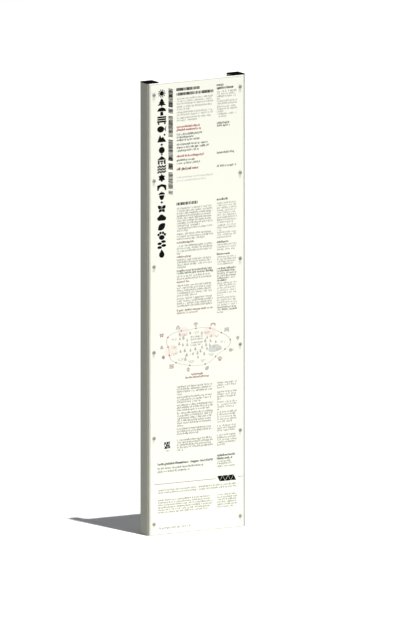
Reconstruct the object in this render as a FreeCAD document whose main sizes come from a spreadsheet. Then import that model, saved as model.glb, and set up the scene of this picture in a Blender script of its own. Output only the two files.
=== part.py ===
import FreeCAD, Part
import math
import os
import Sketcher
from FreeCAD import Vector

# Park interpretation sign: two square posts, and a tall thin board screwed to their front faces.
# Millimetres. Z is up and the front looks along -Y. The origin is on the ground, midway between
# the centre lines of the two posts.

doc = FreeCAD.newDocument("ParkSign")

# Driving dimensions
sizes = {
    "OverallWidth": (500, "outside to outside of the two posts"),
    "PostSide": (60, "side of the square tube"),
    "PostWall": (3, "wall of the tube"),
    "PostHeight": (2030, "length of the tube, from the ground"),
    "PostCorner": (1, "outer corner radius of the tube"),
    "PostBoreCorner": (0.5, "inner corner radius of the tube"),
    "BoardWidth": (480, "width of the board"),
    "BoardHeight": (2028, "height of the board"),
    "BoardThickness": (9.7, "thickness of the board"),
    "BoardCorner": (1, "corner radius of the board"),
    "BoardLift": (1, "gap between the board and the ground"),
    "BoardHole": (9, "clearance hole in the board and its film"),
    "FilmThickness": (0.3, "printed film on the front of the board"),
    "FilmMargin": (2.5, "edge of the board to the edge of the film"),
    "ScrewMargin": (50, "board edge to the first and the last row of screws"),
    "ScrewRows": (6, "screws in each post"),
    "ScrewShank": (7.8, "plain stand-in for the M8 thread"),
    "ScrewLength": (30, "length under the head"),
    "ScrewTip": (1, "chamfer at the end of the shank"),
    "ScrewHead": (14, "diameter of the button head"),
    "ScrewHeadHeight": (4.4, "height of the button head"),
    "ScrewHeadTop": (5.6, "diameter of the flat on top of the head"),
    "ScrewHeadRim": (0.6, "straight rim under the dome"),
    "SocketFlats": (5, "hexagon socket, across its flats"),
    "SocketDepth": (2.6, "depth of the hexagon socket"),
    "WasherOuter": (16, "outer diameter of the washer"),
    "WasherInner": (8.4, "inner diameter of the washer"),
    "WasherThickness": (1.6, "thickness of the washer"),
    "NutFlange": (14, "diameter of the rivet nut's countersunk flange"),
    "NutFlangeDepth": (1.5, "depth of that flange, which lies flush with the post"),
    "NutFlangeAngle": (90, "angle of its cone, in degrees"),
    "NutBody": (11, "diameter of the rivet nut's body"),
    "NutLength": (18, "length of the nut from the post's front face"),
    "NutBulge": (14.4, "crimped bulge behind the tube's wall"),
    "NutBulgeThickness": (3, "thickness of the bulge"),
    "NutBore": (8, "bore of the rivet nut"),
    "NutHoleGap": (0.05, "gap round the nut in the tube's wall"),
    "CapFlangeThickness": (4, "cap's flange, which is as wide as the post"),
    "CapEdge": (0.3, "chamfer round the top of the flange"),
    "CapPlugSide": (48, "side of the cap's hollow plug"),
    "CapPlugWall": (2.5, "wall of the plug"),
    "CapPlugCorner": (3, "outer corner radius of the plug"),
    "CapPlugBoreCorner": (1, "inner corner radius of the plug"),
    "CapPlugDepth": (24, "depth of the plug inside the tube"),
    "CapRibGap": (0.1, "gap between a rib's edge and the tube's bore"),
    "CapRibCorner": (2, "corner radius of a rib"),
    "CapRibThickness": (1.2, "thickness of a rib"),
    "CapRibFirst": (4, "top of the first rib, below the flange"),
    "CapRibPitch": (5.5, "rib to rib"),
    "CapRibs": (4, "ribs on each plug"),
    "FootThickness": (12, "plate welded inside the foot of the tube"),
    "FootCorner": (2, "corner radius of the plate, clear of the tube's inner corner"),
    "AnchorHole": (14, "tapping drill for the M16 foundation rod"),
}

sheet = doc.addObject("Spreadsheet::Sheet", "Sizes")
for row, (alias, (value, meaning)) in enumerate(sizes.items(), start=1):
    sheet.set(f"A{row}", meaning)
    sheet.set(f"B{row}", str(value))
    sheet.setAlias(f"B{row}", alias)
doc.recompute()

# Places worked out from the driving dimensions
post_offset = "(Sizes.OverallWidth - Sizes.PostSide) / 2"
post_bore = "Sizes.PostSide - 2 * Sizes.PostWall"
post_front = "Sizes.PostSide / 2"
film_back = f"{post_front} + Sizes.BoardThickness"
washer_back = f"{film_back} + Sizes.FilmThickness"
head_back = f"{washer_back} + Sizes.WasherThickness"
first_row = "Sizes.BoardLift + Sizes.ScrewMargin"
row_span = "Sizes.BoardHeight - 2 * Sizes.ScrewMargin"
sides = {"left": "-1", "right": "1"}


# Helpers for bodies and sketches

def origin_feature(body, role):
    return next(item for item in body.Origin.OriginFeatures if item.Role == role)


def new_body(label, across="0", back="0", up="0"):
    # A sub-part, placed by three expressions
    body = doc.addObject("PartDesign::Body", label)
    body.Label = label
    body.setExpression("Placement.Base.x", across)
    body.setExpression("Placement.Base.y", back)
    body.setExpression("Placement.Base.z", up)
    return body


def new_sketch(body, name, plane, offset="0"):
    # A sketch on one of the body's own planes, moved along that plane's normal
    sketch = body.newObject("Sketcher::SketchObject", name)
    sketch.AttachmentSupport = (origin_feature(body, plane), [""])
    sketch.MapMode = "FlatFace"
    sketch.setExpression("AttachmentOffset.Base.z", offset)
    return sketch


def bind(sketch, constraint, name, expression):
    index = sketch.addConstraint(constraint)
    sketch.renameConstraint(index, name)
    sketch.setExpression(f"Constraints.{name}", expression)


def add_circle(sketch, name, diameter):
    # A circle about the sketch's origin
    circle = sketch.addGeometry(Part.Circle(Vector(0, 0, 0), Vector(0, 0, 1), 5), False)
    sketch.addConstraint(Sketcher.Constraint("Coincident", circle, 3, -1, 1))
    bind(sketch, Sketcher.Constraint("Diameter", circle, 10), name, diameter)


def add_rounded_square(sketch, name, width, corner, height=None):
    # A rounded rectangle about the sketch's origin: four sides, and four tangent corner arcs
    half, radius = 20, 2
    inner = half - radius
    first = sketch.GeometryCount
    ends = [
        (Vector(-inner, -half, 0), Vector(inner, -half, 0)),
        (Vector(half, -inner, 0), Vector(half, inner, 0)),
        (Vector(inner, half, 0), Vector(-inner, half, 0)),
        (Vector(-half, inner, 0), Vector(-half, -inner, 0)),
    ]
    centres = [
        Vector(inner, -inner, 0), Vector(inner, inner, 0),
        Vector(-inner, inner, 0), Vector(-inner, -inner, 0),
    ]
    for start, end in ends:
        sketch.addGeometry(Part.LineSegment(start, end), False)
    for index, centre in enumerate(centres):
        circle = Part.Circle(centre, Vector(0, 0, 1), radius)
        start = math.radians(90 * index - 90)
        sketch.addGeometry(Part.ArcOfCircle(circle, start, start + math.pi / 2), False)
    for index in range(4):
        arc = first + 4 + index
        sketch.addConstraint(Sketcher.Constraint("Tangent", first + index, 2, arc, 1))
        sketch.addConstraint(Sketcher.Constraint("Tangent", arc, 2, first + (index + 1) % 4, 1))
        direction = "Vertical" if index % 2 else "Horizontal"
        sketch.addConstraint(Sketcher.Constraint(direction, first + index))
        if index:
            sketch.addConstraint(Sketcher.Constraint("Equal", first + 4, arc))
    sketch.addConstraint(Sketcher.Constraint("Symmetric", first + 4, 3, first + 6, 3, -1, 1))
    bind(sketch, Sketcher.Constraint("Radius", first + 4, radius), name + "Corner", corner)
    bind(sketch, Sketcher.Constraint("DistanceX", first + 3, 1, first + 1, 1, 2 * half),
         name + "Width", width)
    bind(sketch, Sketcher.Constraint("DistanceY", first, 1, first + 2, 1, 2 * half),
         name + "Height", height or width)


def add_hexagon(sketch, name, flats):
    # A hexagon about the sketch's origin, its corners on a construction circle
    turns = [math.radians(60 * step) for step in range(6)]
    corners = [Vector(3 * math.cos(turn), 3 * math.sin(turn), 0) for turn in turns]
    for index in range(6):
        sketch.addGeometry(Part.LineSegment(corners[index], corners[(index + 1) % 6]), False)
    circle = sketch.addGeometry(Part.Circle(Vector(0, 0, 0), Vector(0, 0, 1), 3), True)
    sketch.addConstraint(Sketcher.Constraint("Coincident", circle, 3, -1, 1))
    for index in range(6):
        sketch.addConstraint(Sketcher.Constraint("Coincident", index, 2, (index + 1) % 6, 1))
        sketch.addConstraint(Sketcher.Constraint("PointOnObject", index, 1, circle))
        if index:
            sketch.addConstraint(Sketcher.Constraint("Equal", 0, index))
    sketch.addConstraint(Sketcher.Constraint("Horizontal", 1))
    bind(sketch, Sketcher.Constraint("DistanceY", 4, 1, 1, 1, 5), name, flats)


def add_outline(sketch, corners, dome=None):
    # A closed outline; each corner has two expressions and a first guess. The side that starts at
    # the corner numbered dome is an arc whose centre lies on the vertical axis.
    count = len(corners)
    guesses = [Vector(*guess, 0) for across, up, guess in corners]
    for index in range(count):
        begin, end = guesses[index], guesses[(index + 1) % count]
        side = Part.LineSegment(begin, end)
        if index == dome:
            middle = (begin + end) / 2
            side = Part.Arc(begin, middle * 1.1, end)
        sketch.addGeometry(side, False)
    for index in range(count):
        sketch.addConstraint(Sketcher.Constraint("Coincident", index, 2, (index + 1) % count, 1))
    if dome is not None:
        sketch.addConstraint(Sketcher.Constraint("PointOnObject", dome, 3, -2))
    for index, (across, up, guess) in enumerate(corners):
        bind(sketch, Sketcher.Constraint("DistanceX", -1, 1, index, 1, guess[0]),
             f"Across{index}", across)
        bind(sketch, Sketcher.Constraint("DistanceY", -1, 1, index, 1, guess[1]),
             f"Up{index}", up)


def pad(body, name, sketch, length, reverse=False):
    feature = body.newObject("PartDesign::Pad", name)
    feature.Profile = sketch
    feature.setExpression("Length", length)
    feature.Reversed = reverse
    doc.recompute()
    return feature


def pocket(body, name, sketch, length):
    before = body.Shape.Volume
    feature = body.newObject("PartDesign::Pocket", name)
    feature.Profile = sketch
    feature.setExpression("Length", length)
    doc.recompute()
    if feature.Shape.Volume > before - 1:
        raise RuntimeError(f"{name} cuts nothing")
    return feature


def drill(body, name, sketch, diameter):
    # A plain hole through everything behind a circle; it needs its base computed first
    hole = body.newObject("PartDesign::Hole", name)
    hole.Profile = sketch
    doc.recompute()
    hole.ThreadType = "None"
    hole.DepthType = "ThroughAll"
    hole.setExpression("Diameter", diameter)
    doc.recompute()
    return hole


def revolve(body, name, sketch, axis):
    feature = body.newObject("PartDesign::Revolution", name)
    feature.Profile = sketch
    feature.ReferenceAxis = (origin_feature(body, axis), [""])
    feature.Angle = 360
    doc.recompute()
    return feature


def row_pattern(body, name, originals, length, count, axis="Z_Axis", reverse=False):
    feature = body.newObject("PartDesign::LinearPattern", name)
    feature.Originals = originals
    feature.Direction = (origin_feature(body, axis), [""])
    feature.Reversed = reverse
    feature.setExpression("Length", length)
    feature.setExpression("Occurrences", count)
    body.Tip = feature
    doc.recompute()
    return feature


# Posts: a square tube with a row of countersunk rivet nut holes in the front wall

def make_post(label, side):
    body = new_body(label, across=f"{side} * {post_offset}")
    section = new_sketch(body, label + "_section", "XY_Plane")
    add_rounded_square(section, "Outer", "Sizes.PostSide", "Sizes.PostCorner")
    add_rounded_square(section, "Bore", post_bore, "Sizes.PostBoreCorner")
    pad(body, label + "_tube", section, "Sizes.PostHeight")
    centre = new_sketch(body, label + "_hole_sketch", "XZ_Plane", post_front)
    centre.setExpression("AttachmentOffset.Base.y", first_row)
    add_circle(centre, "Hole", "Sizes.NutBody")
    hole = drill(body, label + "_hole", centre, "Sizes.NutBody + 2 * Sizes.NutHoleGap")
    hole.DepthType = "Dimension"
    hole.setExpression("Depth", "2 * Sizes.PostWall")
    hole.DrillPoint = "Flat"
    hole.HoleCutType = "Countersink"
    hole.setExpression("HoleCutDiameter", "Sizes.NutFlange + 2 * Sizes.NutHoleGap")
    hole.setExpression("HoleCutCountersinkAngle", "Sizes.NutFlangeAngle")
    doc.recompute()
    row_pattern(body, label + "_holes", [hole], row_span, "Sizes.ScrewRows")
    return body


# Caps: a flange as wide as the post, and a hollow plug with ribs that grip the bore

def make_cap(label, side):
    body = new_body(label, across=f"{side} * {post_offset}", up="Sizes.PostHeight")
    outline = new_sketch(body, label + "_flange_sketch", "XY_Plane")
    add_rounded_square(outline, "Flange", "Sizes.PostSide", "Sizes.PostCorner")
    flange = pad(body, label + "_flange", outline, "Sizes.CapFlangeThickness")
    top = max(range(len(flange.Shape.Faces)),
              key=lambda index: flange.Shape.Faces[index].CenterOfMass.z)
    edge = body.newObject("PartDesign::Chamfer", label + "_edge")
    edge.Base = (flange, [f"Face{top + 1}"])
    edge.setExpression("Size", "Sizes.CapEdge")
    doc.recompute()
    plug = new_sketch(body, label + "_plug_sketch", "XY_Plane")
    add_rounded_square(plug, "Plug", "Sizes.CapPlugSide", "Sizes.CapPlugCorner")
    add_rounded_square(plug, "Hollow", "Sizes.CapPlugSide - 2 * Sizes.CapPlugWall",
                       "Sizes.CapPlugBoreCorner")
    pad(body, label + "_plug", plug, "Sizes.CapPlugDepth", reverse=True)
    rib = new_sketch(body, label + "_rib_sketch", "XY_Plane", "-Sizes.CapRibFirst")
    add_rounded_square(rib, "Rib", f"{post_bore} - 2 * Sizes.CapRibGap", "Sizes.CapRibCorner")
    add_rounded_square(rib, "Core", "Sizes.CapPlugSide - Sizes.CapPlugWall",
                       "Sizes.CapPlugBoreCorner")
    first = pad(body, label + "_rib", rib, "Sizes.CapRibThickness", reverse=True)
    row_pattern(body, label + "_ribs", [first], "Sizes.CapRibPitch * (Sizes.CapRibs - 1)",
                "Sizes.CapRibs", reverse=True)
    return body


# Foot plates: flush with the end of the tube, tapped in the middle for a foundation rod

def make_foot_plate(label, side):
    body = new_body(label, across=f"{side} * {post_offset}")
    outline = new_sketch(body, label + "_sketch", "XY_Plane")
    add_rounded_square(outline, "Plate", post_bore, "Sizes.FootCorner")
    pad(body, label + "_plate", outline, "Sizes.FootThickness")
    centre = new_sketch(body, label + "_hole_sketch", "XY_Plane", "Sizes.FootThickness")
    add_circle(centre, "Centre", "Sizes.AnchorHole")
    drill(body, label + "_anchor_hole", centre, "Sizes.AnchorHole")
    return body


# Board and film: the film is a little smaller all round, and both have two columns of holes

def make_sheet_part(label, back, thickness, margin="0"):
    middle = "Sizes.BoardLift + Sizes.BoardHeight / 2"
    body = new_body(label, back=f"-({back})", up=middle)
    outline = new_sketch(body, label + "_sketch", "XZ_Plane")
    add_rounded_square(outline, "Board", f"Sizes.BoardWidth - 2 * {margin}",
                       "Sizes.BoardCorner", f"Sizes.BoardHeight - 2 * {margin}")
    pad(body, label + "_blank", outline, thickness)
    corner = new_sketch(body, label + "_hole_sketch", "XZ_Plane", thickness)
    corner.setExpression("AttachmentOffset.Base.x", f"-({post_offset})")
    corner.setExpression("AttachmentOffset.Base.y", f"-({row_span}) / 2")
    add_circle(corner, "Hole", "Sizes.BoardHole")
    cut = pocket(body, label + "_hole", corner, f"2 * {thickness}")
    grid = row_pattern(body, label + "_holes", [cut], row_span, "Sizes.ScrewRows")
    grid.Direction2 = (origin_feature(body, "X_Axis"), [""])
    grid.setExpression("Length2", f"2 * {post_offset}")
    grid.Occurrences2 = 2
    doc.recompute()
    return body


# Fasteners: one of each is turned about its own Y axis and repeated up the post

def make_rivet_nuts(label, side):
    body = new_body(label, f"{side} * {post_offset}", f"-({post_front})", first_row)
    bore = "Sizes.NutBore / 2"
    shank = "Sizes.NutBody / 2"
    flange = "Sizes.NutFlange / 2"
    bulge = "Sizes.NutBulge / 2"
    bulge_end = "Sizes.PostWall + Sizes.NutBulgeThickness"
    profile = new_sketch(body, label + "_profile", "XY_Plane")
    add_outline(profile, [
        (bore, "0", (4, 0)),
        (flange, "0", (7, 0)),
        (shank, "Sizes.NutFlangeDepth", (5.5, 1.5)),
        (shank, "Sizes.PostWall", (5.5, 3)),
        (bulge, "Sizes.PostWall + Sizes.NutBulgeThickness / 2", (7.2, 4.5)),
        (shank, bulge_end, (5.5, 6)),
        (shank, "Sizes.NutLength", (5.5, 18)),
        (bore, "Sizes.NutLength", (4, 18)),
    ])
    nut = revolve(body, label + "_nut", profile, "Y_Axis")
    row_pattern(body, label + "_row", [nut], row_span, "Sizes.ScrewRows")
    return body


def make_washers(label, side):
    body = new_body(label, f"{side} * {post_offset}", f"-({washer_back})", first_row)
    ring = new_sketch(body, label + "_ring", "XZ_Plane")
    add_circle(ring, "Outer", "Sizes.WasherOuter")
    add_circle(ring, "Inner", "Sizes.WasherInner")
    washer = pad(body, label + "_washer", ring, "Sizes.WasherThickness")
    row_pattern(body, label + "_row", [washer], row_span, "Sizes.ScrewRows")
    return body


def make_screws(label, side):
    body = new_body(label, f"{side} * {post_offset}", f"-({head_back})", first_row)
    top = "-Sizes.ScrewHeadHeight"
    rim = "-Sizes.ScrewHeadRim"
    flat = "Sizes.ScrewHeadTop / 2"
    head = "Sizes.ScrewHead / 2"
    shank = "Sizes.ScrewShank / 2"
    profile = new_sketch(body, label + "_profile", "XY_Plane")
    add_outline(profile, [
        ("0", top, (0, -4.4)),
        (flat, top, (2.8, -4.4)),
        (head, rim, (7, -0.6)),
        (head, "0", (7, 0)),
        (shank, "0", (3.9, 0)),
        (shank, "Sizes.ScrewLength - Sizes.ScrewTip", (3.9, 29)),
        (f"{shank} - Sizes.ScrewTip", "Sizes.ScrewLength", (2.9, 30)),
        ("0", "Sizes.ScrewLength", (0, 30)),
    ], dome=1)
    screw = revolve(body, label + "_screw", profile, "Y_Axis")
    socket = new_sketch(body, label + "_socket_sketch", "XZ_Plane", "Sizes.ScrewHeadHeight")
    add_hexagon(socket, "Flats", "Sizes.SocketFlats")
    cut = pocket(body, label + "_socket", socket, "Sizes.SocketDepth")
    row_pattern(body, label + "_row", [screw, cut], row_span, "Sizes.ScrewRows")
    return body


# Assembly

parts = []
for name, side in sides.items():
    parts.append(make_post(f"{name}_post", side))
    parts.append(make_cap(f"{name}_post_cap", side))
    parts.append(make_foot_plate(f"{name}_foot_plate", side))
    parts.append(make_rivet_nuts(f"{name}_rivet_nuts", side))
    parts.append(make_washers(f"{name}_washers", side))
    parts.append(make_screws(f"{name}_screws", side))
parts.append(make_sheet_part("sign_board", post_front, "Sizes.BoardThickness"))
parts.append(make_sheet_part("print_film", film_back, "Sizes.FilmThickness", "Sizes.FilmMargin"))
doc.recompute()

for item in doc.Objects:
    if "Invalid" in item.State or "Error" in item.State:
        raise RuntimeError(f"{item.Name} did not compute: {item.State}")
for part in parts:
    if part.Shape.isNull() or not part.Shape.isValid():
        raise RuntimeError(f"{part.Label} has no valid shape")

os.makedirs("parts", exist_ok=True)
for part in parts:
    part.Shape.exportStep(f"parts/{part.Label}.step")
    box = part.Shape.BoundBox
    print(part.Label, len(part.Shape.Solids), "solids", round(part.Shape.Volume), "mm3",
          [round(value, 2) for value in (box.XMin, box.YMin, box.ZMin, box.XMax, box.YMax, box.ZMax)])
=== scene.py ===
import bmesh
import bpy
import math
import random
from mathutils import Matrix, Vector


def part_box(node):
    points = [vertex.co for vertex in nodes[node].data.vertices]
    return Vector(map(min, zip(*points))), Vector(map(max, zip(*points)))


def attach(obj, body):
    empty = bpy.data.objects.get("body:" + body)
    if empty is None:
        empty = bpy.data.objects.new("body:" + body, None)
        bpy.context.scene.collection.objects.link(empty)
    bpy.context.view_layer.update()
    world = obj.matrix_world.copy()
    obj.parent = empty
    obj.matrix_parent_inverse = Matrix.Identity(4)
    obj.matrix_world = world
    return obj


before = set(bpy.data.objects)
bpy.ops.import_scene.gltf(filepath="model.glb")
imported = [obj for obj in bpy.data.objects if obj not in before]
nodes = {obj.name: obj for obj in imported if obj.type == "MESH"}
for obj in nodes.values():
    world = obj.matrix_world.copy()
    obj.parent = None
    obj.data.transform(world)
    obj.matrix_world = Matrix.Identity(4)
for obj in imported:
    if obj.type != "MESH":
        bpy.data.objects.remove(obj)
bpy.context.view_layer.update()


# Node trees: a socket with arithmetic, and a tree that adds any node

class Value:
    def __init__(self, tree, socket):
        self.tree = tree
        self.socket = socket

    def out(self, name):
        # another output of the same node
        return Value(self.tree, self.socket.node.outputs[name])

    def __add__(self, other):
        return self.tree.math("ADD", self, other)

    def __radd__(self, other):
        return self.tree.math("ADD", other, self)

    def __sub__(self, other):
        return self.tree.math("SUBTRACT", self, other)

    def __rsub__(self, other):
        return self.tree.math("SUBTRACT", other, self)

    def __mul__(self, other):
        return self.tree.math("MULTIPLY", self, other)

    def __rmul__(self, other):
        return self.tree.math("MULTIPLY", other, self)

    def __lt__(self, other):
        return self.tree.math("LESS_THAN", self, other)

    def __gt__(self, other):
        return self.tree.math("GREATER_THAN", self, other)


class NodeTree:
    def __init__(self, tree):
        self.tree = tree

    def add(self, kind, settings=None, sockets=None, out=0):
        # settings come first, because they decide which sockets a node has
        node = self.tree.nodes.new(kind)
        for name, value in (settings or {}).items():
            setattr(node, name, value)
        for name, value in (sockets or {}).items():
            self.feed(node.inputs[name], value)
        return Value(self, node.outputs[out]) if len(node.outputs) else node

    def feed(self, socket, value):
        if isinstance(value, Value):
            self.tree.links.new(value.socket, socket)
        else:
            socket.default_value = value

    def math(self, operation, *values):
        return self.add("ShaderNodeMath", {"operation": operation}, dict(enumerate(values)))


# Materials

def newMaterial(name):
    material = bpy.data.materials.new(name)
    material.use_nodes = True
    material.node_tree.nodes.clear()
    return material, NodeTree(material.node_tree)


def finishMaterial(tree, sockets):
    shader = tree.add("ShaderNodeBsdfPrincipled", None, sockets)
    tree.add("ShaderNodeOutputMaterial", None, {"Surface": shader})


def objectPlace(tree):
    return tree.add("ShaderNodeTexCoord").out("Object")


def noise(tree, place, scale, detail):
    return tree.add("ShaderNodeTexNoise", None, {"Vector": place, "Scale": scale, "Detail": detail})


def tinted(tree, mask, colour, tones):
    # the colour between its darker and its lighter tone; 6, 7 and 2 are a Mix node's colour sockets
    darker, lighter = (tuple(part * tone for part in colour[:3]) + (1.0,) for tone in tones)
    sockets = {"Factor": mask, 6: darker, 7: lighter}
    return tree.add("ShaderNodeMix", {"data_type": "RGBA"}, sockets, out=2)


def between(mask, limits):
    # runs from the first limit to the second as the mask runs from 0 to 1
    low, high = limits
    return low + (high - low) * mask


def bump(tree, height, distance):
    return tree.add("ShaderNodeBump", None, {"Height": height, "Distance": distance})


def dress(material, *names):
    for name in names:
        for slot in nodes[name].material_slots:
            slot.material = material


# Posts and foot plates: grey powder coat with a fine orange peel

postPaint = {
    "colour": (0.282, 0.285, 0.237, 1),
    "tones": (0.96, 1.04),
    "mottleScale": 9.0,
    "mottleShare": 0.6,
    "grainScale": 1100.0,
    "grainHeight": 0.3,
    "peelScale": 320.0,
    "peelDepth": 0.00006,
    "roughness": (0.5, 0.6),
    "specular": 0.1,
}


def makePaint(name, look):
    material, tree = newMaterial(name)
    place = objectPlace(tree)
    mottle = noise(tree, place, look["mottleScale"], detail=3)
    grain = noise(tree, place, look["grainScale"], detail=1)
    peel = noise(tree, place, look["peelScale"], detail=2)
    mask = look["mottleShare"] * mottle + (1 - look["mottleShare"]) * grain
    finishMaterial(tree, {
        "Base Color": tinted(tree, mask, look["colour"], look["tones"]),
        "Roughness": between(grain, look["roughness"]),
        "Specular IOR Level": look["specular"],
        "Normal": bump(tree, peel + look["grainHeight"] * grain, look["peelDepth"]),
    })
    return material


dress(makePaint("postPaint", postPaint), "left_post", "right_post",
      "left_foot_plate", "right_foot_plate")
print("posts painted")


# Caps: black moulding with a spark-eroded grain

capPlastic = {
    "colour": (0.0016, 0.0016, 0.0014, 1),
    "tones": (0.8, 1.2),
    "grainScale": 900.0,
    "grainDepth": 0.00005,
    "roughness": (0.8, 0.9),
    "specular": 0.02,
}


def makeCapPlastic(look):
    material, tree = newMaterial("capPlastic")
    grain = noise(tree, objectPlace(tree), look["grainScale"], detail=3)
    finishMaterial(tree, {
        "Base Color": tinted(tree, grain, look["colour"], look["tones"]),
        "Roughness": between(grain, look["roughness"]),
        "Specular IOR Level": look["specular"],
        "Normal": bump(tree, grain, look["grainDepth"]),
    })
    return material


dress(makeCapPlastic(capPlastic), "left_post_cap", "right_post_cap")
print("caps moulded")


# Board: white compact sheet whose sawn edges show faint layers; film: satin cream over it

boardCore = {
    "colour": (0.96, 0.965, 0.84, 1),
    "tones": (0.95, 1.0),
    "layerScale": 1500.0,
    "layerStretch": (0.05, 1.0, 0.05),
    "layerShare": 0.7,
    "sawScale": 260.0,
    "sawDepth": 0.00003,
    "roughness": (0.55, 0.75),
    "specular": 0.2,
}
filmFace = {
    "colour": (0.962, 0.963, 0.837, 1),
    "tones": (0.99, 1.005),
    "cloudScale": 4.0,
    "grainScale": 1600.0,
    "grainDepth": 0.00002,
    "roughness": (0.46, 0.54),
    "specular": 0.25,
}


def makeBoardCore(look):
    material, tree = newMaterial("boardCore")
    place = objectPlace(tree)
    stretched = tree.add("ShaderNodeMapping", None, {"Vector": place, "Scale": look["layerStretch"]})
    layers = noise(tree, stretched, look["layerScale"], detail=1)
    saw = noise(tree, place, look["sawScale"], detail=3)
    mask = look["layerShare"] * layers + (1 - look["layerShare"]) * saw
    finishMaterial(tree, {
        "Base Color": tinted(tree, mask, look["colour"], look["tones"]),
        "Roughness": between(saw, look["roughness"]),
        "Specular IOR Level": look["specular"],
        "Normal": bump(tree, mask, look["sawDepth"]),
    })
    return material


def makeFilmFace(look):
    material, tree = newMaterial("filmFace")
    place = objectPlace(tree)
    cloud = noise(tree, place, look["cloudScale"], detail=3)
    grain = noise(tree, place, look["grainScale"], detail=1)
    finishMaterial(tree, {
        "Base Color": tinted(tree, cloud, look["colour"], look["tones"]),
        "Roughness": between(grain, look["roughness"]),
        "Specular IOR Level": look["specular"],
        "Normal": bump(tree, grain, look["grainDepth"]),
    })
    return material


dress(makeBoardCore(boardCore), "sign_board")
dress(makeFilmFace(filmFace), "print_film")
print("board and film finished")


# Fasteners: heads and washers in the posts' grey, zinc nuts inside

screwPaint = dict(postPaint, colour=(0.35, 0.355, 0.30, 1), mottleScale=150.0, peelDepth=0.00003)
nutZinc = {
    "colour": (0.55, 0.53, 0.47, 1),
    "tones": (0.8, 1.0),
    "grainScale": 700.0,
    "roughness": (0.3, 0.45),
}


def makeZinc(look):
    material, tree = newMaterial("nutZinc")
    grain = noise(tree, objectPlace(tree), look["grainScale"], detail=2)
    finishMaterial(tree, {
        "Base Color": tinted(tree, grain, look["colour"], look["tones"]),
        "Metallic": 1.0,
        "Roughness": between(grain, look["roughness"]),
    })
    return material


dress(makePaint("screwPaint", screwPaint), "left_screws", "right_screws",
      "left_washers", "right_washers")
dress(makeZinc(nutZinc), "left_rivet_nuts", "right_rivet_nuts")
print("fasteners finished")


# Print: everything printed on the film is a thin closed piece in a flat ink. Its places are in
# millimetres, across and down from a spot just outside the film's top left corner.

printSheet = {"outside": 0.003, "depth": 0.00012}
filmLow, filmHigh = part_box("print_film")
filmFront = filmLow[1]
# rounded, so that the last digits of the frame don't move the print
printLeft = round(filmLow[0] - printSheet["outside"], 5)
printTop = round(filmHigh[2] + printSheet["outside"], 5)
inkColours = {
    "black": (0.0035, 0.0035, 0.0035, 1),
    "dark": (0.022, 0.022, 0.021, 1),
    "pale": (0.34, 0.34, 0.32, 1),
    "soft": (0.50, 0.48, 0.44, 1),
    "clay": (0.32, 0.22, 0.24, 1),
    "red": (0.40, 0.035, 0.035, 1),
    "brick": (0.20, 0.035, 0.035, 1),
    "rose": (0.48, 0.36, 0.33, 1),
    "mist": (0.66, 0.67, 0.62, 1),
    "blush": (0.93, 0.84, 0.74, 1),
    # painted shadow: the grey of the hairline band round the film
    "edgeShadow": (0.30, 0.30, 0.27, 1),
}
inkCover = {"scale": 240.0, "tones": (0.92, 1.08), "roughness": (0.6, 0.7), "specular": 0.08}


def makeInk(name, colour):
    # screen-printed ink: a little thinner in places
    material, tree = newMaterial(name + "Ink")
    cover = noise(tree, objectPlace(tree), inkCover["scale"], detail=2)
    finishMaterial(tree, {
        "Base Color": tinted(tree, cover, colour, inkCover["tones"]),
        "Roughness": between(cover, inkCover["roughness"]),
        "Specular IOR Level": inkCover["specular"],
    })
    return material


inks = {name: makeInk(name, colour) for name, colour in inkColours.items()}


def across(millimetres):
    return printLeft + millimetres / 1000


def down(millimetres):
    return printTop - millimetres / 1000


def addPiece(name, mesh, ink):
    mesh.materials.clear()
    mesh.materials.append(inks[ink])
    piece = bpy.data.objects.new(name, mesh)
    bpy.context.scene.collection.objects.link(piece)
    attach(piece, "root")
    return piece


def addPrism(build, outline, depth):
    # a thin closed block with the given outline, in millimetres across and down
    places = [(across(u), down(v)) for u, v in outline]
    area = sum(a[0] * b[1] - b[0] * a[1] for a, b in zip(places, places[1:] + places[:1]))
    if area < 0:
        places.reverse()
    front = [build.verts.new((x, filmFront - depth, z)) for x, z in places]
    back = [build.verts.new((x, filmFront, z)) for x, z in places]
    build.faces.new(front)
    build.faces.new(back[::-1])
    for index in range(len(places)):
        after = (index + 1) % len(places)
        build.faces.new((front[index], back[index], back[after], front[after]))


def addBand(build, outer, inner, depth):
    # a closed band between two loops of as many points, both turning the same way
    def ring(loop, y):
        return [build.verts.new((across(u), y, down(v))) for u, v in loop]

    outerFront, innerFront = ring(outer, filmFront - depth), ring(inner, filmFront - depth)
    outerBack, innerBack = ring(outer, filmFront), ring(inner, filmFront)
    walls = [(outerFront, innerFront), (innerFront, innerBack), (innerBack, outerBack),
             (outerBack, outerFront)]
    faces = []
    for index in range(len(outer)):
        after = (index + 1) % len(outer)
        for first, second in walls:
            corners = (first[index], first[after], second[after], second[index])
            faces.append(build.faces.new(corners))
    bmesh.ops.recalc_face_normals(build, faces=faces)


def printShapes(name, outlines, ink, bands=(), layer=1.0):
    # a layer below 1 lies under what is printed over it
    depth = printSheet["depth"] * layer
    build = bmesh.new()
    for outer, inner in bands:
        addBand(build, outer, inner, depth)
    for outline in outlines:
        addPrism(build, outline, depth)
    build.normal_update()
    bmesh.ops.triangulate(build, faces=[face for face in build.faces if len(face.verts) > 4])
    mesh = bpy.data.meshes.new(name)
    build.to_mesh(mesh)
    build.free()
    return addPiece(name, mesh, ink)


def bar(left, top, right, bottom):
    return [(left, top), (right, top), (right, bottom), (left, bottom)]


def diamond(u, v, halfWidth, halfHeight):
    return [(u, v - halfHeight), (u + halfWidth, v), (u, v + halfHeight), (u - halfWidth, v)]


def level(v, left, right):
    # a row that runs level across the sheet
    return [(left, v), (right, v)]


# Ink rows: every row is a line, cut into marks of uneven width and height with gaps here and
# there; the marks follow the row's direction

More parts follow.
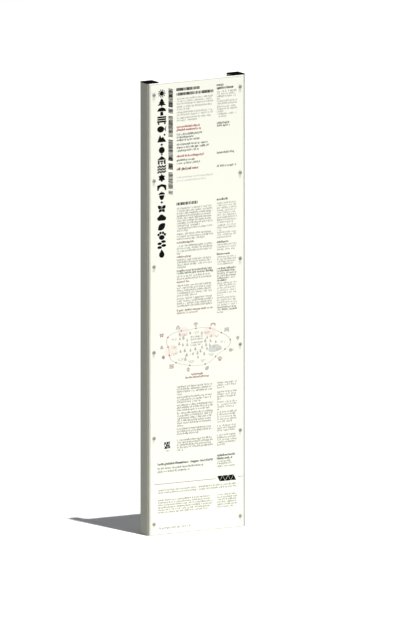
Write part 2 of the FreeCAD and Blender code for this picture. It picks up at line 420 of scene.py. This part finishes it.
def newGroup(name, inputs):
    group = bpy.data.node_groups.new(name, "GeometryNodeTree")
    for label, kind in inputs.items():
        group.interface.new_socket(label, in_out="INPUT", socket_type=kind)
    group.interface.new_socket("Geometry", in_out="OUTPUT", socket_type="NodeSocketGeometry")
    tree = NodeTree(group)
    return group, tree, tree.add("NodeGroupInput")


def chance(tree, seed, low, high):
    # a random number for each point; 2, 3 and 1 are the node's sockets for plain numbers
    sockets = {2: low, 3: high, "Seed": seed}
    return tree.add("FunctionNodeRandomValue", {"data_type": "FLOAT"}, sockets, out=1)


def endGroup(tree, marks, ink):
    solid = tree.add("GeometryNodeRealizeInstances", None, {"Geometry": marks})
    inked = tree.add("GeometryNodeSetMaterial", None, {"Geometry": solid, "Material": ink})
    tree.add("NodeGroupOutput", None, {"Geometry": inked})


def runGroup(name, group, mesh, values, ink):
    # runs a tree on a carrier mesh and keeps what it makes as one plain piece
    carrier = bpy.data.objects.new(name + "Carrier", mesh)
    bpy.context.scene.collection.objects.link(carrier)
    modifier = carrier.modifiers.new(group.name, "NODES")
    modifier.node_group = group
    values = dict(values, Ink=inks[ink])
    for item in group.interface.items_tree:
        if item.in_out == "INPUT" and item.name in values:
            modifier[item.identifier] = values[item.name]
    graph = bpy.context.evaluated_depsgraph_get()
    made = bpy.data.meshes.new_from_object(carrier.evaluated_get(graph), depsgraph=graph)
    made.name = name
    carrier.modifiers.remove(modifier)
    bpy.data.objects.remove(carrier)
    return addPiece(name, made, ink)


# some marks rise above their row, and a few hang below it
inkMark = {"fallingShare": 0.35, "growth": 0.42, "mostFill": 0.92, "heights": (0.94, 1.04)}


def buildInkRows():
    inputs = {
        "Geometry": "NodeSocketGeometry",
        "Pitch": "NodeSocketFloat",
        "Height": "NodeSocketFloat",
        "Fill": "NodeSocketFloat",
        "Gap Share": "NodeSocketFloat",
        "Tall Share": "NodeSocketFloat",
        "Unevenness": "NodeSocketFloat",
        "Slant": "NodeSocketFloat",
        "Depth": "NodeSocketFloat",
        "Seed": "NodeSocketInt",
        "Ink": "NodeSocketMaterial",
    }
    group, tree, given = newGroup("inkRows", inputs)
    seed = given.out("Seed")
    rows = tree.add("GeometryNodeMeshToCurve", None, {"Mesh": given})
    points = tree.add("GeometryNodeCurveToPoints", {"mode": "LENGTH"},
                      {"Curve": rows, "Length": given.out("Pitch")})
    gaps = chance(tree, seed + 1, 0.0, 1.0) < given.out("Gap Share")
    kept = tree.add("GeometryNodeDeleteGeometry", {"domain": "POINT"},
                    {"Geometry": points, "Selection": gaps})
    reach = chance(tree, seed + 2, 0.0, 1.0)
    rising = reach < given.out("Tall Share")
    falling = reach > 1 - inkMark["fallingShare"] * given.out("Tall Share")
    lift = (rising - falling) * (inkMark["growth"] / 2 * given.out("Height"))
    moved = tree.add("GeometryNodeSetPosition", None, {
        "Geometry": kept,
        "Offset": tree.add("ShaderNodeCombineXYZ", None, {"Z": lift}),
    })
    spread = 1 + given.out("Unevenness") * chance(tree, seed + 3, -1.0, 1.0)
    share = tree.math("MINIMUM", given.out("Fill") * spread, inkMark["mostFill"])
    grown = given.out("Height") * (1 + inkMark["growth"] * (rising + falling))
    size = tree.add("ShaderNodeCombineXYZ", None, {
        "X": given.out("Pitch") * share,
        "Y": given.out("Depth"),
        "Z": grown * chance(tree, seed + 4, *inkMark["heights"]),
    })
    along = tree.add("FunctionNodeAlignRotationToVector", {"axis": "X", "pivot_axis": "Y"},
                     {"Vector": points.out("Tangent")})
    lean = tree.add("FunctionNodeAxisAngleToRotation", None,
                    {"Axis": (0, 1, 0), "Angle": given.out("Slant")})
    turn = tree.add("FunctionNodeRotateRotation", {"rotation_space": "LOCAL"},
                    {"Rotation": along, "Rotate By": lean})
    mark = tree.add("GeometryNodeMeshCube", None, {"Size": (1, 1, 1)})
    marks = tree.add("GeometryNodeInstanceOnPoints", None,
                     {"Points": moved, "Instance": mark, "Rotation": turn, "Scale": size})
    endGroup(tree, marks, given.out("Ink"))
    return group


inkRows = buildInkRows()
headingRow = {"uneven": 0.35, "gap": 0.04, "tall": 0.2, "ink": "black"}
textRow = {"pitch": 2.8, "height": 6.0, "uneven": 0.4, "gap": 0.12, "tall": 0.45, "ink": "dark"}
rowLooks = {
    "heading": dict(headingRow, pitch=7.4, height=12.8, fill=0.71, gap=0.0, tall=0.0),
    "subheading": dict(headingRow, pitch=5.0, height=8.4, fill=0.74),
    "sideHeading": dict(headingRow, pitch=4.2, height=6.3, fill=0.6, tall=0.3),
    "smallHeading": dict(headingRow, pitch=4.4, height=7.4, fill=0.64, tall=0.3),
    "redHeading": dict(headingRow, pitch=3.8, height=6.8, fill=0.68, tall=0.3, ink="red"),
    "brickHeading": dict(headingRow, pitch=3.6, height=6.4, fill=0.6, tall=0.3, ink="brick"),
    "deepHeading": dict(headingRow, pitch=5.0, height=8.4, fill=0.7, gap=0.1, ink="brick"),
    "strong": dict(textRow, pitch=3.2, height=6.4, fill=0.6, gap=0.07),
    "bold": dict(textRow, pitch=3.2, height=6.2, fill=0.55, gap=0.09),
    "medium": dict(textRow, pitch=3.2, height=6.2, fill=0.47, gap=0.09),
    "brickText": dict(textRow, fill=0.4, ink="brick"),
    "body": dict(textRow, fill=0.365),
    "firm": dict(textRow, fill=0.42),
    "light": dict(textRow, height=5.6, fill=0.31),
    "faint": dict(textRow, height=4.8, fill=0.34, ink="pale"),
    "small": dict(textRow, pitch=2.4, height=5.0, fill=0.41),
}


def runRows(name, rows, look, seed, layer=1.0):
    # rows are lines of two or more spots, in millimetres across and down
    mesh = bpy.data.meshes.new(name)
    build = bmesh.new()
    depth = printSheet["depth"] * layer
    middle = filmFront - depth / 2
    for row in rows:
        spots = [build.verts.new((across(u), middle, down(v))) for u, v in row]
        for first, second in zip(spots, spots[1:]):
            build.edges.new((first, second))
    build.to_mesh(mesh)
    build.free()
    values = {
        "Pitch": look["pitch"] / 1000,
        "Height": look["height"] / 1000,
        "Fill": look["fill"],
        "Gap Share": look["gap"],
        "Tall Share": look["tall"],
        "Unevenness": look["uneven"],
        "Slant": look.get("slant", 0.0),
        "Depth": depth,
        "Seed": seed,
    }
    return runGroup(name, inkRows, mesh, values, look["ink"])


columns = {
    "main": {"left": 138, "right": 321, "lineStep": 11.1},
    "side": {"left": 343, "right": 443, "lineStep": 10.8},
    "foot": {"left": 42, "right": 321, "lineStep": 10.8},
}

# each paragraph: the first row's middle, how many rows, and how far the last one runs
paragraphs = {
    ("heading", "main"): [(36, 1, 0.61), (57, 1, 1.0), (550, 1, 0.56)],
    ("subheading", "side"): [(34, 1, 0.3), (48, 1, 0.8)],
    ("sideHeading", "side"): [(740, 1, 0.56), (794, 1, 0.63), (913, 1, 0.45)],
    ("redHeading", "main"): [(205, 1, 0.63), (219, 1, 0.66), (337, 1, 0.74)],
    ("brickHeading", "main"): [(725, 1, 0.46), (789, 1, 0.39), (902, 1, 0.33), (1030, 1, 1.0)],
    ("deepHeading", "main"): [(395, 1, 0.58)],
    ("bold", "main"): [(239, 1, 0.69), (252, 1, 0.47), (265, 1, 0.62), (284, 1, 0.85),
                       (298, 1, 0.88), (312, 1, 0.62), (355, 1, 0.48), (369, 1, 0.63),
                       (852, 2, 1.0)],
    ("brickText", "main"): [(1042, 1, 0.57)],
    ("bold", "side"): [(859, 2, 0.9)],
    ("light", "main"): [(79, 3, 1.0), (115, 2, 0.35), (140, 2, 1.0), (165, 2, 0.55)],
    ("body", "main"): [(572, 8, 0.66), (661, 2, 0.3), (687, 3, 0.77), (741, 4, 0.1), (803, 4, 0.25),
                       (877, 2, 0.95), (919, 5, 0.55), (977, 4, 1.0)],
    ("firm", "main"): [(1373, 4, 0.13), (1420, 3, 0.65), (1456, 3, 0.9), (1492, 6, 0.17),
                       (1562, 3, 0.6), (1612, 5, 0.18)],
    ("light", "side"): [(64, 4, 0.2), (107, 2, 1.0), (132, 3, 0.3), (165, 2, 0.5), (565, 9, 0.8),
                        (665, 3, 0.2), (697, 3, 0.7), (752, 3, 0.9), (807, 4, 0.8), (925, 6, 0.3),
                        (990, 4, 1.0)],
    ("body", "side"): [(1372, 3, 0.35), (1413, 4, 0.2), (1459, 4, 0.1),
                       (1504, 5, 0.75), (1565, 3, 0.9), (1607, 5, 0.4)],
    ("firm", "side"): [(881, 3, 0.9)],
    ("faint", "main"): [(432, 1, 1.0), (447, 1, 0.8)],
    ("small", "side"): [(1056, 1, 0.3), (1875, 6, 0.8)],
    ("small", "foot"): [(1875, 6, 0.9)],
    ("smallHeading", "side"): [(548, 1, 0.53)],
    ("strong", "side"): [(205, 1, 0.6), (217, 1, 0.63), (338, 1, 0.84), (398, 1, 0.95)],
    ("medium", "side"): [(1033.5, 2, 1.0)],
}
ragged = {"shortest": 0.93, "seed": 11}


def printParagraphs():
    draw = random.Random(ragged["seed"])
    for seed, ((style, columnName), blocks) in enumerate(paragraphs.items()):
        column = columns[columnName]
        width = column["right"] - column["left"]
        rows = []
        for first, count, share in blocks:
            for index in range(count):
                reach = share if index == count - 1 else draw.uniform(ragged["shortest"], 1.0)
                v = first + index * column["lineStep"]
                rows.append(level(v, column["left"], column["left"] + width * reach))
        runRows(f"{columnName}_{style}", rows, rowLooks[style], seed)


printParagraphs()
print("paragraphs printed")


# Film rim: a painted hairline shadow, a band of grey ink where the film ends short of the board's rim

filmEdgeShadow = {"width": 1.1, "ink": "edgeShadow"}


def printFilmEdgeShadow():
    left, right = ((side - printLeft) * 1000 for side in (filmLow[0], filmHigh[0]))
    top, bottom = ((printTop - end) * 1000 for end in (filmHigh[2], filmLow[2]))
    width = filmEdgeShadow["width"]
    outer = bar(left, top, right, bottom)
    inner = bar(left + width, top + width, right - width, bottom - width)
    printShapes("film_edge", [], filmEdgeShadow["ink"], bands=[(outer, inner)])


printFilmEdgeShadow()


# Title band: eighteen park pictograms in a column, in three sixes with a diamond between them.
# Each is drawn in millimetres across and up from the middle of a 43 x 34 cell.

titleBand = {
    "middle": 60.0,
    "top": 27.5,
    "scale": 1.1,
    "cellHeight": 37.5,
    "pitch": 40.2,
    "group": 6,
    "groupGap": 18.0,
    "diamond": (7.0, 6.0),
}
wave = {"reach": 20.0, "points": 20, "height": 2.6, "turnStep": 0.47, "thick": 7.4}


def mirrored(half):
    # a shape from its right half, listed from top to bottom
    return half + [(-a, b) for a, b in reversed(half) if a]


def arc(a, b, halfWidth, halfHeight, start, end, points=18):
    turns = [math.radians(start + (end - start) * step / points) for step in range(points + 1)]
    return [(a + halfWidth * math.cos(turn), b + halfHeight * math.sin(turn)) for turn in turns]


def disc(a, b, radius, points=32):
    return arc(a, b, radius, radius, 0, 360 - 360 / points, points - 1)


def petal(a, b, reach, width, degrees, points=8, fullness=0.8):
    # a pointed leaf from a, b outwards
    side = [(reach * step / points, width / 2 * math.sin(math.pi * step / points) ** fullness)
            for step in range(points + 1)]
    outline = side + [(x, -y) for x, y in side[-2:0:-1]]
    turn = math.radians(degrees)
    return [(a + x * math.cos(turn) - y * math.sin(turn), b + x * math.sin(turn) + y * math.cos(turn))
            for x, y in outline]


def waveBand(b):
    places = [wave["reach"] * (2 * step / wave["points"] - 1) for step in range(wave["points"] + 1)]
    line = [(a, b + wave["height"] * math.sin(a * wave["turnStep"])) for a in places]
    return line + [(a, y - wave["thick"]) for a, y in reversed(line)]


def rays(count, inner, outer, halfWidth):
    shapes = []
    for index in range(count):
        turn = 2 * math.pi * index / count
        ahead = (math.cos(turn), math.sin(turn))
        aside = (-ahead[1] * halfWidth, ahead[0] * halfWidth)
        shapes.append([(ahead[0] * inner + aside[0], ahead[1] * inner + aside[1]),
                       (ahead[0] * inner - aside[0], ahead[1] * inner - aside[1]),
                       (ahead[0] * outer, ahead[1] * outer)])
    return shapes


pictograms = {
    "sun": [disc(0, 0, 10)] + rays(10, 11.8, 19, 3.4),
    "conifer": [mirrored([(0, 17), (9, 7), (6, 7), (14, -3), (9, -3), (20, -12), (3, -12), (3, -17)])],
    "mushroom": [arc(0, 0, 20, 16, 0, 180), mirrored([(6, -1.5), (7.5, -17)])],
    "bench": [bar(-20, 9, 20, 16), bar(-20, 0, 20, 7), bar(-21, -9, 21, -2),
              bar(-18, -17, -11, -9.5), bar(11, -17, 18, -9.5)],
    "fish": [arc(-5, 0, 16, 13, 30, 330, 24) + [(12.5, 0)],
             [(12.5, 1.2), (21, 13), (18, 0), (21, -13), (12.5, -1.2)]],
    "mountain": [[(-21, -16), (-8, 14), (-1, 0), (5, 7), (21, -16)], disc(13, 13, 4.2, 20)],
    "tree": [disc(0, 4, 13.6), bar(-3.6, -17, 3.6, -10.4)],
    "shelter": [[(-21, 1), (0, 17), (21, 1)], bar(-18, -17, -10, -0.5), bar(10, -17, 18, -0.5),
                bar(-8, -8, 8, -2), bar(-3.5, -17, 3.5, -9.5)],
    "waves": [waveBand(14), waveBand(3), waveBand(-8)],
    "flower": [petal(0, 0, 16.5, 11, 90 + 60 * index) for index in range(6)],
    "bridge": [[(-21, -14), (-21, 6), (0, 12), (21, 6), (21, -14)] + arc(0, -14, 14, 15, 0, 180)],
    "acorn": [arc(0, 5, 15, 10, 0, 180), arc(0, 2.5, 12, 19.5, 180, 360), bar(-1.8, 15.2, 1.8, 18)],
    "butterfly": [petal(2, 1, 20, 15, 36), petal(-2, 1, 20, 15, 144), petal(2, -2, 16, 12, -42),
                  petal(-2, -2, 16, 12, 222), bar(-1.4, -12, 1.4, 13)],
    "cloud": [arc(11, -3, 9.5, 8.5, -90, 70) + arc(-1, 3, 11, 11, 55, 140)
              + arc(-12, -3, 9, 8.5, 110, 270)],
    "leaf": [petal(-17, -13, 42, 27, 38)],
    "paw": [arc(0, -7, 13, 10, 0, 345, 23), disc(-15, 4.5, 5.4, 20), disc(-6, 11.5, 5.6, 20),
            disc(6, 11.5, 5.6, 20), disc(15, 4.5, 5.4, 20)],
    "stones": [arc(-10, -11, 10.5, 6, 0, 345, 23), arc(9.5, -4, 11, 6, 0, 345, 23),
               arc(-10, 4.5, 10, 5.6, 0, 345, 23), arc(8, 12, 11, 5.6, 0, 345, 23)],
    "drop": [[(0, 18)] + arc(0, -4.5, 12.5, 12.5, 40, -220, 24)],
}


def placed(outline, u, v, scale):
    # a pictogram's outline at its place in the print, where v runs down
    return [(u + a * scale, v - b * scale) for a, b in outline]


def printTitleBand():
    shapes = []
    middle = titleBand["middle"]
    v = titleBand["top"] + titleBand["cellHeight"] / 2
    for index, outlines in enumerate(pictograms.values()):
        if index and index % titleBand["group"] == 0:
            halfWay = v + (titleBand["groupGap"] - titleBand["pitch"]) / 2
            shapes.append(diamond(middle, halfWay, *titleBand["diamond"]))
            v += titleBand["groupGap"]
        shapes += [placed(outline, middle, v, titleBand["scale"]) for outline in outlines]
        v += titleBand["pitch"]
    printShapes("title_pictograms", shapes, "black")


printTitleBand()


# Band beside the title: slanted strokes in four groups

hatchBand = {"middle": 105.5, "top": 31.0, "bottom": 507.0, "groups": (20, 17, 24, 18)}
hatchLook = dict(headingRow, pitch=5.6, height=23.0, fill=0.72, gap=0.09, tall=0.0, slant=0.2)


def printHatchBand():
    rows = []
    step = hatchLook["pitch"]
    spare = hatchBand["bottom"] - hatchBand["top"] - sum(hatchBand["groups"]) * step
    gap = spare / (len(hatchBand["groups"]) - 1)
    v = hatchBand["top"]
    for count in hatchBand["groups"]:
        rows.append([(hatchBand["middle"], v), (hatchBand["middle"], v + (count - 1) * step)])
        v += count * step + gap
    runRows("title_hatch", rows, hatchLook, seed=5)


printHatchBand()
print("title printed")


# Park map: a looped trail with a pond, lawns, trees and way points, each with its pictogram

parkMap = {
    "middle": (238.0, 1196.0),
    "size": (158.0, 84.0),
    "threeLobes": 0.07,
    "fiveLobes": 0.05,
    "lobeTurn": 0.7,
    "points": 96,
    "trailWidth": 4.0,
}
mapLayers = {"ground": 0.3, "trail": 0.6, "footpath": 0.8}


def trailSpot(turn, size=1.0):
    # a spot on the trail, or on a smaller or larger copy of it
    lobes = (parkMap["threeLobes"] * math.sin(3 * turn + parkMap["lobeTurn"])
             + parkMap["fiveLobes"] * math.cos(5 * turn))
    reach = size * (1 + lobes)
    return (parkMap["middle"][0] + parkMap["size"][0] * reach * math.cos(turn),
            parkMap["middle"][1] - parkMap["size"][1] * reach * math.sin(turn))


def circleTurns(points):
    return [2 * math.pi * step / points for step in range(points)]


# each patch: its middle, its half width and height, and the turn of its swaying rim
patches = {
    "lawns": ((108, 1205, 34, 30, 0.4), (168, 1128, 30, 22, 2.2), (306, 1140, 34, 24, 4.0)),
    "pond": ((330, 1214, 34, 18, 1.0),),
    "sway": 0.12,
    "points": 28,
}


def patch(u, v, halfWidth, halfHeight, phase):
    sway = patches["sway"]
    return [(u + halfWidth * (1 + sway * math.sin(3 * turn + phase)) * math.cos(turn),
             v + halfHeight * (1 + sway * math.cos(2 * turn + phase)) * math.sin(turn))
            for turn in circleTurns(patches["points"])]


def printGrounds():
    for name, ink in (("lawns", "blush"), ("pond", "mist")):
        outlines = [patch(*sizes) for sizes in patches[name]]
        printShapes("map_" + name, outlines, ink, layer=mapLayers["ground"])
    share = parkMap["trailWidth"] / sum(parkMap["size"])
    outer, inner = ([trailSpot(turn, size) for turn in circleTurns(parkMap["points"])]
                    for size in (1 + share, 1 - share))
    printShapes("map_trail", [], "mist", bands=[(outer, inner)], layer=mapLayers["trail"])


wayPoints = {
    "signs": ("tree", "bench", "bridge", "mushroom", "shelter", "butterfly", "conifer", "flower",
              "waves", "acorn", "leaf", "paw", "fish"),
    "firstStep": 0.3,
    "diamond": (4.5, 4.5),
    "signScale": 0.6,
    "signReach": 1.22,
    "captionReach": 0.78,
    "captionRows": ((14, 0), (9, 6)),
}


def wayPointTurns():
    count = len(wayPoints["signs"])
    return [2 * math.pi * (index + wayPoints["firstStep"]) / count for index in range(count)]


def printWayPoints():
    diamonds = []
    signs = {"soft": [], "rose": []}
    captions = []
    for index, (name, turn) in enumerate(zip(wayPoints["signs"], wayPointTurns())):
        # every third sign is rose
        ink = "rose" if index % 3 == 2 else "soft"
        diamonds.append(diamond(*trailSpot(turn), *wayPoints["diamond"]))
        u, v = trailSpot(turn, wayPoints["signReach"])
        signs[ink] += [placed(outline, u, v, wayPoints["signScale"]) for outline in pictograms[name]]
        u, v = trailSpot(turn, wayPoints["captionReach"])
        captions += [level(v + drop, u - half, u + half) for half, drop in wayPoints["captionRows"]]
    printShapes("map_way_points", diamonds, "red")
    for ink, outlines in signs.items():
        printShapes("map_pictograms_" + ink, outlines, ink)
    runRows("map_captions", captions, rowLooks["faint"], seed=31)


def buildInkMarks():
    inputs = {
        "Geometry": "NodeSocketGeometry",
        "Mark": "NodeSocketObject",
        "Scale Low": "NodeSocketFloat",
        "Scale High": "NodeSocketFloat",
        "Seed": "NodeSocketInt",
        "Ink": "NodeSocketMaterial",
    }
    group, tree, given = newGroup("inkMarks", inputs)
    mark = tree.add("GeometryNodeObjectInfo", {"transform_space": "ORIGINAL"},
                    {"Object": given.out("Mark")})
    spots = tree.add("GeometryNodeMeshToPoints", None, {"Mesh": given})
    size = chance(tree, given.out("Seed"), given.out("Scale Low"), given.out("Scale High"))
    scale = tree.add("ShaderNodeCombineXYZ", None, {"X": size, "Y": 1.0, "Z": size})
    marks = tree.add("GeometryNodeInstanceOnPoints", None,
                     {"Points": spots, "Instance": mark.out("Geometry"), "Scale": scale})
    endGroup(tree, marks, given.out("Ink"))
    return group


inkMarks = buildInkMarks()
legend = {"left": 196.0, "right": 282.0, "top": 1146.0, "bottom": 1206.0, "margin": (12, 14),
          "rows": (1154, 1165, 1180, 1191)}
trees = {
    "outlines": (mirrored([(0, 14), (4.5, 6), (3, 6), (6.5, -1), (0, -1)]), bar(-0.8, -5, 0.8, -1)),
    "scaleLow": 0.8,
    "scaleHigh": 1.25,
    "count": 30,
    "gap": 17.0,
    "reach": (0.2, 0.8),
    "besideCaption": 24.0,
    "aboveCaption": 22.0,
    "belowCaption": 20.0,
    "tries": 4000,
    "seed": 23,
}


def treeSpots():
    # seeded places inside the trail, clear of the legend, the captions and each other
    draw = random.Random(trees["seed"])
    captions = [trailSpot(turn, wayPoints["captionReach"]) for turn in wayPointTurns()]
    spots = []
    for attempt in range(trees["tries"]):
        u, v = trailSpot(draw.uniform(0, 2 * math.pi), draw.uniform(*trees["reach"]))
        inLegend = legend["left"] < u < legend["right"] and legend["top"] < v < legend["bottom"]
        nearCaption = any(abs(u - a) < trees["besideCaption"]
                          and -trees["aboveCaption"] < v - b < trees["belowCaption"]
                          for a, b in captions)
        spaced = all(math.dist((u, v), spot) > trees["gap"] for spot in spots)
        if spaced and not inLegend and not nearCaption and len(spots) < trees["count"]:
            spots.append((u, v))
    return spots


def makeTreeMark():
    # one tree about the world's origin, where the node tree takes it from
    build = bmesh.new()
    for outline in trees["outlines"]:
        addPrism(build, placed(outline, -printLeft * 1000, printTop * 1000, 1.0), printSheet["depth"])
    for vert in build.verts:
        vert.co.y -= filmFront
    mesh = bpy.data.meshes.new("mapTree")
    build.to_mesh(mesh)
    build.free()
    return bpy.data.objects.new("mapTree", mesh)


def printTrees():
    mark = makeTreeMark()
    places = bpy.data.meshes.new("mapTreePlaces")
    places.from_pydata([(across(u), filmFront, down(v)) for u, v in treeSpots()], [], [])
    values = {
        "Mark": mark,
        "Scale Low": trees["scaleLow"],
        "Scale High": trees["scaleHigh"],
        "Seed": trees["seed"],
    }
    runGroup("map_trees", inkMarks, places, values, "soft")
    bpy.data.objects.remove(mark)


footpath = [(150, 1215), (185, 1236), (222, 1228), (248, 1216), (280, 1206), (322, 1180)]
pathLook = {
    "pitch": 7.0,
    "height": 1.6,
    "fill": 0.6,
    "uneven": 0.0,
    "gap": 0.0,
    "tall": 0.0,
    "ink": "soft",
}
mapTitle = [level(1322, 212, 270), level(1335, 182, 298)]


def printMapRows():
    runRows("map_footpath", [footpath], pathLook, seed=3, layer=mapLayers["footpath"])
    left, right = legend["left"] + legend["margin"][0], legend["right"] - legend["margin"][1]
    rows = [level(v, left, right) for v in legend["rows"]]
    runRows("map_legend", rows, rowLooks["body"], seed=32)
    runRows("map_title", mapTitle, rowLooks["brickHeading"], seed=33)


printGrounds()
printWayPoints()
printTrees()
printMapRows()
print("map printed")


# Foot of the sheet: headings, a mosaic patch, a divider with a strip of triangles, and small rows

mosaic = {"left": 72.5, "top": 1613.5, "cell": 3.1, "cells": 10, "share": 0.66, "seed": 8}
divider = {"level": 1801.0, "width": 2.3, "stretches": ((20, 335), (450, 475))}
triangles = {"left": 342.0, "top": 1789.5, "width": 99.0, "height": 25.0, "count": 6, "gap": 2.4}


def printFoot():
    draw = random.Random(mosaic["seed"])
    cell = mosaic["cell"]
    tiles = []
    for index in range(mosaic["cells"] ** 2):
        if draw.random() < mosaic["share"]:
            u = mosaic["left"] + cell * (index % mosaic["cells"])
            v = mosaic["top"] + cell * (index // mosaic["cells"])
            tiles.append(bar(u, v, u + cell, v + cell))
    printShapes("mosaic_patch", tiles, "black")
    top, bottom = (divider["level"] + side * divider["width"] / 2 for side in (-1, 1))
    rules = [bar(left, top, right, bottom) for left, right in divider["stretches"]]
    printShapes("divider_rule", rules, "clay")
    step = triangles["width"] / (triangles["count"] + 1)
    strip = []
    for index in range(triangles["count"]):
        left = triangles["left"] + index * step + triangles["gap"] / 2
        right = left + 2 * step - triangles["gap"]
        ends = (triangles["top"], triangles["top"] + triangles["height"])
        point, base = ends if index % 2 else ends[::-1]
        strip.append([(left, base), (right, base), ((left + right) / 2, point)])
    printShapes("divider_triangles", strip, "black")


# each row: its middle, and where it starts and ends
footRows = {
    "smallHeading": [(1713, 40, 194), (1713, 207, 318), (1698, 343, 433), (1712, 343, 418)],
    "medium": [(1732, 40, 270), (1746, 40, 200)],
    "body": [(1725, 343, 410), (1735, 343, 415), (1747, 343, 433), (1654, 82, 100), (2000, 43, 205)],
    "small": [(1830, 43, 235), (1841, 43, 235), (1830, 250, 440), (1841, 250, 440)],
}
printFoot()
for seed, (style, rows) in enumerate(footRows.items(), start=40):
    runRows("lower_" + style, [level(*row) for row in rows], rowLooks[style], seed)
print("foot printed")


# Floor, light and camera

studio = {
    "floorSize": 24.0,
    "floorColour": (0.9, 0.9, 0.9, 1),
    "shadowStep": (-0.0413, 0.2525, -1.0),
    "sunStrength": 4.32,
    "sunAngle": 1.0,
    "sunPlace": (1, -3, 6),
    "skyColour": (0.190, 0.195, 0.210, 1),
    "backdrop": (1, 1, 1, 1),
}
photoView = {
    "azimuth": -30.0,
    "elevation": 10.0,
    "pixelsPerMetre": 226.05,
    "framePixels": 636,
    "middle": (0.0207, -0.030, 0.9554),
    "distance": 12.0,
}


def makeFloor():
    half = studio["floorSize"] / 2
    mesh = bpy.data.meshes.new("studioFloor")
    corners = [(-half, -half, 0), (half, -half, 0), (half, half, 0), (-half, half, 0)]
    mesh.from_pydata(corners, [], [(0, 1, 2, 3)])
    floor = bpy.data.objects.new("studioFloor", mesh)
    bpy.context.scene.collection.objects.link(floor)
    material, tree = newMaterial("studioFloor")
    finishMaterial(tree, {"Base Color": studio["floorColour"], "Roughness": 1.0,
                          "Specular IOR Level": 0.0})
    mesh.materials.append(material)


def makeLights():
    sun = bpy.data.lights.new("sun", "SUN")
    sun.energy = studio["sunStrength"]
    sun.angle = math.radians(studio["sunAngle"])
    lamp = bpy.data.objects.new("sun", sun)
    lamp.rotation_mode = "QUATERNION"
    lamp.rotation_quaternion = Vector(studio["shadowStep"]).to_track_quat("-Z", "Y")
    lamp.location = studio["sunPlace"]
    bpy.context.scene.collection.objects.link(lamp)
    world = bpy.data.worlds.new("studioSky")
    world.use_nodes = True
    world.node_tree.nodes.clear()
    tree = NodeTree(world.node_tree)
    sky = tree.add("ShaderNodeBackground", None, {"Color": studio["skyColour"]})
    backdrop = tree.add("ShaderNodeBackground", None, {"Color": studio["backdrop"]})
    # the sky lights the sign, and behind the floor only the backdrop is seen
    seen = tree.add("ShaderNodeLightPath")
    both = tree.add("ShaderNodeMixShader", None, {0: seen, 1: sky, 2: backdrop})
    tree.add("ShaderNodeOutputWorld", None, {"Surface": both})
    bpy.context.scene.world = world


def makeCamera():
    data = bpy.data.cameras.new("photoView")
    data.type = "ORTHO"
    data.ortho_scale = photoView["framePixels"] / photoView["pixelsPerMetre"]
    azimuth = math.radians(photoView["azimuth"])
    elevation = math.radians(photoView["elevation"])
    back = Vector((math.sin(azimuth) * math.cos(elevation),
                   -math.cos(azimuth) * math.cos(elevation), math.sin(elevation)))
    camera = bpy.data.objects.new("photoView", data)
    camera.rotation_mode = "QUATERNION"
    camera.rotation_quaternion = back.to_track_quat("Z", "Y")
    camera.location = Vector(photoView["middle"]) + back * photoView["distance"]
    bpy.context.scene.collection.objects.link(camera)
    bpy.context.scene.camera = camera


makeFloor()
makeLights()
makeCamera()
bpy.context.scene.view_settings.view_transform = "Standard"
print("studio ready")
